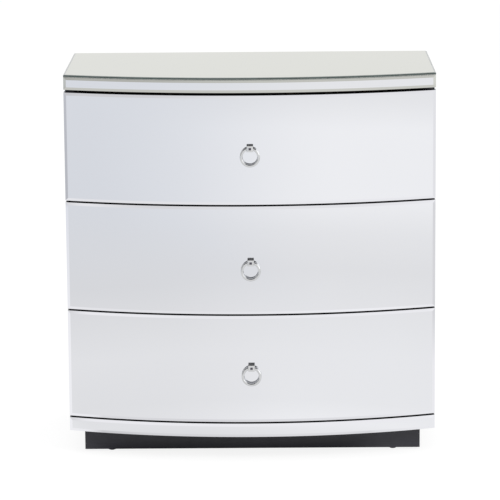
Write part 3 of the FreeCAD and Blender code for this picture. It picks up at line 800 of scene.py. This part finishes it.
def stage_piece(name, bm):
    """A piece of the stage from a mesh in the making. It is no part of the chest."""
    mesh = bpy.data.meshes.new(name)
    bm.to_mesh(mesh)
    bm.free()
    piece = bpy.data.objects.new(name, mesh)
    bpy.context.scene.collection.objects.link(piece)
    return piece


def ray_kinds(tree):
    """Whether a ray is the camera's, and whether it is sharp, as in a mirror or through glass."""
    path = tree.nodes.new("ShaderNodeLightPath")
    sharp = math_node(tree, "MAXIMUM", path.outputs["Is Glossy Ray"], path.outputs["Is Transmission Ray"])
    return path.outputs["Is Camera Ray"], sharp


def grey_by_distance(tree, source, stops):
    """A grey that runs through levels given at distances in metres."""
    furthest = stops[-1][0]
    share = math_node(tree, "DIVIDE", source, furthest)
    return shades(tree, share, *((distance / furthest, (level, level, level)) for distance, level in stops))


def painted_plinth_shadow(tree, x, y):
    """A factor that paints a shadow on the floor under the plinth and just in front of it."""
    low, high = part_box("plinth_front")
    half_x = high.x * SHADE_WIDTH
    half_y = (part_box("plinth_back")[1].y - low.y) / 2
    shifted = math_node(tree, "ADD", x, SHADE_SHIFT)
    from_middle = math_node(tree, "SUBTRACT", y, low.y + half_y)
    beside = math_node(tree, "SUBTRACT", math_node(tree, "ABSOLUTE", shifted, 0), half_x)
    before = math_node(tree, "SUBTRACT", math_node(tree, "ABSOLUTE", from_middle, 0), half_y)
    clear = math_node(tree, "MAXIMUM", beside, before)
    return smooth_step(tree, clear, 0.0, SHADE_FADE, SHADE_LEVEL, 1.0)


def floor_paint_and_painted_reflection():
    """White to the camera, and to reflections a painted glow that sweeps a little darker and cooler to the
    left.
    """
    material = bpy.data.materials.new("floor_paint_and_painted_reflection")
    material.use_nodes = True
    tree = material.node_tree
    tree.nodes.clear()
    place = coordinates(tree, "Object")
    parts = components(tree, place)
    length = tree.nodes.new("ShaderNodeVectorMath")
    length.operation = "LENGTH"
    tree.links.new(place, length.inputs[0])
    away = length.outputs["Value"]
    sideways = math_node(tree, "DIVIDE", parts["X"], away)
    left, right, left_end, right_end = (
        grey_by_distance(tree, away, stops)
        for stops in (FLOOR_LEFT, FLOOR_RIGHT, FLOOR_LEFT_END, FLOOR_RIGHT_END)
    )
    at_right = smooth_step(tree, sideways, *FLOOR_TURN)
    level = choose(tree, at_right, right, left)
    begin, full = FLOOR_END
    level = choose(tree, smooth_step(tree, sideways, -begin, -full), left_end, level)
    level = choose(tree, smooth_step(tree, sideways, begin, full), right_end, level)
    # A painted shadow round the plinth, which only reflections see.
    level = math_node(tree, "MULTIPLY", level, painted_plinth_shadow(tree, parts["X"], parts["Y"]))
    seen, sharp = ray_kinds(tree)
    to_camera = math_node(tree, "MULTIPLY", seen, FLOOR_SEEN)
    near_or_right = math_node(tree, "MAXIMUM", at_right, smooth_step(tree, away, *COOL_FADE))
    neutral = math_node(tree, "MAXIMUM", near_or_right, seen)
    glow = tree.nodes.new("ShaderNodeEmission")
    # Reflections see the floor's painted glow.
    strength = math_node(tree, "ADD", to_camera, math_node(tree, "MULTIPLY", sharp, level))
    tree.links.new(strength, glow.inputs["Strength"])
    tree.links.new(mixed(tree, neutral, COOL_CAST, WHITE), glow.inputs["Color"])
    paint = tree.nodes.new("ShaderNodeBsdfDiffuse")
    paint.inputs["Color"].default_value = FLOOR_PAINT
    lit = tree.nodes.new("ShaderNodeAddShader")
    tree.links.new(paint.outputs["BSDF"], lit.inputs[0])
    tree.links.new(glow.outputs["Emission"], lit.inputs[1])
    surface = tree.nodes.new("ShaderNodeMixShader")
    tree.links.new(sharp, surface.inputs["Fac"])
    tree.links.new(lit.outputs["Shader"], surface.inputs[1])
    tree.links.new(glow.outputs["Emission"], surface.inputs[2])
    output = tree.nodes.new("ShaderNodeOutputMaterial")
    tree.links.new(surface.outputs["Shader"], output.inputs["Surface"])
    return material


def floor():
    """A wide pale floor just below the glides."""
    bm = bmesh.new()
    below = Matrix.Translation((0, 0, -FLOOR_DROP))
    bmesh.ops.create_circle(bm, cap_ends=True, radius=FLOOR_RADIUS, segments=FLOOR_STEPS, matrix=below)
    stage_piece("floor", bm).data.materials.append(floor_paint_and_painted_reflection())


def flag():
    """A small grey card round the camera, which only the polished metal and glass show."""
    bm = bmesh.new()
    left, right = CARD_X
    bottom, top = CARD_Z
    corners = ((left, bottom), (right, bottom), (right, top), (left, top))
    bm.faces.new([bm.verts.new((x, CARD_Y, z)) for x, z in corners])
    card = stage_piece("flag", bm)
    material, tree, shader = new_material("flag_felt", Roughness=0.9)
    felt = noise(tree, 300.0, detail=4)
    colour = shades(tree, felt, (0.3, (0.15, 0.15, 0.155)), (0.7, (0.24, 0.24, 0.245)))
    tree.links.new(colour, shader.inputs["Base Color"])
    card.data.materials.append(material)
    card.visible_camera = False
    card.visible_diffuse = False
    card.visible_shadow = False


def zone(tree, first, second):
    """How far a direction lies in a zone: two of its parts, each with where the zone begins and is full."""
    return math_node(tree, "MULTIPLY", smooth_step(tree, *first), smooth_step(tree, *second))


def studio():
    """A white room, to reflections brighter at the right, and dim overhead and at the far left."""
    world = bpy.data.worlds.new("studio")
    world.use_nodes = True
    tree = world.node_tree
    bpy.context.scene.world = world
    background = tree.nodes["Background"]
    background.inputs["Color"].default_value = WHITE
    x, y, z = components(tree, coordinates(tree, "Generated")).values()
    ahead = zone(tree, (y, -0.20, -0.40), (z, 0.40, 0.45))
    ceiling = zone(tree, (z, 0.55, 0.62), (y, 0.30, 0.05))
    left_wall = zone(tree, (x, -0.58, -0.80), (y, -0.15, -0.35))
    softbox = zone(tree, (x, 0.62, 0.76), (z, 0.02, 0.12))
    level = choose(tree, ahead, smooth_step(tree, x, -0.50, 0.05, AHEAD_LEFT, AHEAD_RIGHT), ROOM_MIRRORED)
    level = choose(tree, ceiling, CEILING, level)
    level = choose(tree, left_wall, LEFT_WALL, level)
    level = choose(tree, softbox, SOFTBOX, level)
    seen, sharp = ray_kinds(tree)
    strength = choose(tree, seen, ROOM_SEEN, choose(tree, sharp, level, ROOM_LIGHT))
    tree.links.new(strength, background.inputs["Strength"])


def lamp(name, place, target, size, watts):
    """A soft area lamp that mirrors don't show."""
    light = bpy.data.lights.new(name, "AREA")
    light.shape = "SQUARE"
    light.size = size
    light.energy = watts
    holder = bpy.data.objects.new(name, light)
    holder.location = place
    holder.rotation_euler = (Vector(target) - Vector(place)).to_track_quat("-Z", "Y").to_euler()
    holder.visible_glossy = False
    bpy.context.scene.collection.objects.link(holder)


def camera():
    """The camera of the photo, fitted to the corners and edges of the chest."""
    lens = bpy.data.cameras.new("camera")
    lens.lens = LENS
    lens.sensor_width = FILM_WIDTH
    lens.clip_end = FAR_LIMIT
    holder = bpy.data.objects.new("camera", lens)
    level = Vector((math.sin(YAW), math.cos(YAW), 0))
    right = Vector((math.cos(YAW), -math.sin(YAW), 0))
    forward = level * math.cos(PITCH) - Vector((0, 0, math.sin(PITCH)))
    up = level * math.sin(PITCH) + Vector((0, 0, math.cos(PITCH)))
    rolled_right = right * math.cos(ROLL) - up * math.sin(ROLL)
    rolled_up = right * math.sin(ROLL) + up * math.cos(ROLL)
    turn = Matrix((rolled_right, rolled_up, -forward)).transposed().to_4x4()
    holder.matrix_world = Matrix.Translation(CAMERA_PLACE) @ turn
    bpy.context.scene.collection.objects.link(holder)
    bpy.context.scene.camera = holder


build_pieces()
floor()
flag()
studio()
lamp("key", place=(2.4, -2.6, 2.9), target=(0, 0, 0.4), size=1.6, watts=60)
lamp("fill", place=(-2.6, -2.8, 2.6), target=(0, 0, 0.4), size=2.0, watts=30)
camera()
bpy.context.scene.view_settings.view_transform = "Standard"
